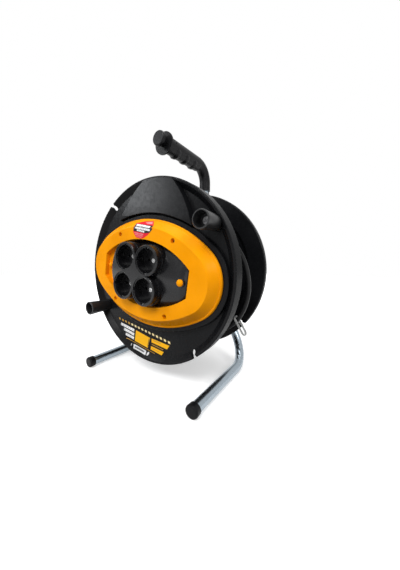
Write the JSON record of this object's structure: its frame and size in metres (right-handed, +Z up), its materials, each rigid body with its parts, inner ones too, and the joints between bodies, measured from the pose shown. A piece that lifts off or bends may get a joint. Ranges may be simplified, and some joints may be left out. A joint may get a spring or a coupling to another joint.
{
  "type": "extension cord reel",
  "caption": "Cable drum on a bent tube stand, with wall-type sockets under an oval cover, turning winding knobs, a wound cord with its plug and a carrying handle.",
  "frame": {"origin": "on the floor under the middle of the stand's footprint, in the plane of the drum's axis", "axes": "+Z up, +Y from the socket side to the handle post along the drum's axis, +X to the right seen from the sockets"},
  "size_m": [0.3386, 0.251, 0.444],
  "materials": {
    "flange_plastic": "satin moulded",
    "socket_plastic": "satin moulded",
    "knob_plastic": "satin moulded",
    "grip_plastic": "satin moulded",
    "cap_plastic": "smooth moulded",
    "inner_plastic": "moulded",
    "yellow_plastic": "glossy moulded",
    "tube_steel": "galvanised drawn tube",
    "zinc_plate": "zinc plated",
    "bright_steel": "bright",
    "contact_brass": "stamped",
    "cable_rubber": "sheathed cord",
    "nylon_white": "natural nylon"
  },
  "bodies": {
    "frame": {"leg_tube": "tube_steel", "foot_cap_left": "cap_plastic", "foot_cap_right": "cap_plastic", "hub_plate": "zinc_plate", "leg_bolts": "zinc_plate", "leg_nuts": "zinc_plate", "post_saddles": "cap_plastic", "post_bolts": "zinc_plate", "post_nuts": "zinc_plate", "axle": "bright_steel", "axle_washer": "zinc_plate", "axle_ring": "bright_steel", "axle_nut": "zinc_plate", "handle_post": "tube_steel", "grip_left": "grip_plastic", "grip_right": "grip_plastic", "grip_end": "grip_plastic", "grip_screws": "zinc_plate"},
    "drum": {"front_flange": "flange_plastic", "rear_flange": "flange_plastic", "drum_core": "inner_plastic", "front_screws": "zinc_plate", "rear_screws": "zinc_plate", "hub_bush": "nylon_white", "socket_cover": "yellow_plastic", "cover_screws": "zinc_plate", "socket_panel": "socket_plastic", "socket_insert_1": "socket_plastic", "socket_insert_2": "socket_plastic", "socket_insert_3": "socket_plastic", "socket_insert_4": "socket_plastic", "earth_clip_1": "bright_steel", "earth_clip_2": "bright_steel", "earth_clip_3": "bright_steel", "earth_clip_4": "bright_steel", "well_screws": "bright_steel", "live_strip": "contact_brass", "neutral_strip": "contact_brass", "earth_bar": "contact_brass", "thermal_cutout": "inner_plastic", "blank_button": "yellow_plastic", "cable_pack": "cable_rubber", "cable_winding": "cable_rubber", "cable_tail": "cable_rubber", "lead_in": "cable_rubber", "cable_clamp": "inner_plastic", "clamp_screws": "zinc_plate", "plug_body": "inner_plastic", "plug_boot": "cable_rubber", "plug_pins": "bright_steel", "cable_tie": "nylon_white", "knob_screws": "zinc_plate"},
    "winding_knob_upper": {"winding_knob_upper": "knob_plastic"},
    "winding_knob_lower": {"winding_knob_lower": "knob_plastic"},
    "reset_button": {"reset_button": "yellow_plastic"}
  },
  "joints": [
    {"name": "drum_turn", "type": "hinge", "parent": "frame", "child": "drum", "pos_m": [0, 0, 0.19], "axis": [0, 1, 0], "continuous": true},
    {"name": "upper_knob_turn", "type": "hinge", "parent": "drum", "child": "winding_knob_upper", "pos_m": [0.12623, -0.1, 0.26435], "axis": [0, 1, 0], "continuous": true},
    {"name": "lower_knob_turn", "type": "hinge", "parent": "drum", "child": "winding_knob_lower", "pos_m": [-0.12623, -0.1, 0.11565], "axis": [0, 1, 0], "continuous": true},
    {"name": "reset_press", "type": "slide", "parent": "drum", "child": "reset_button", "axis": [0, 1, 0], "range_m": [0, 0.0025], "stiffness_N_per_m": 400, "springref_m": -0.001}
  ]
}
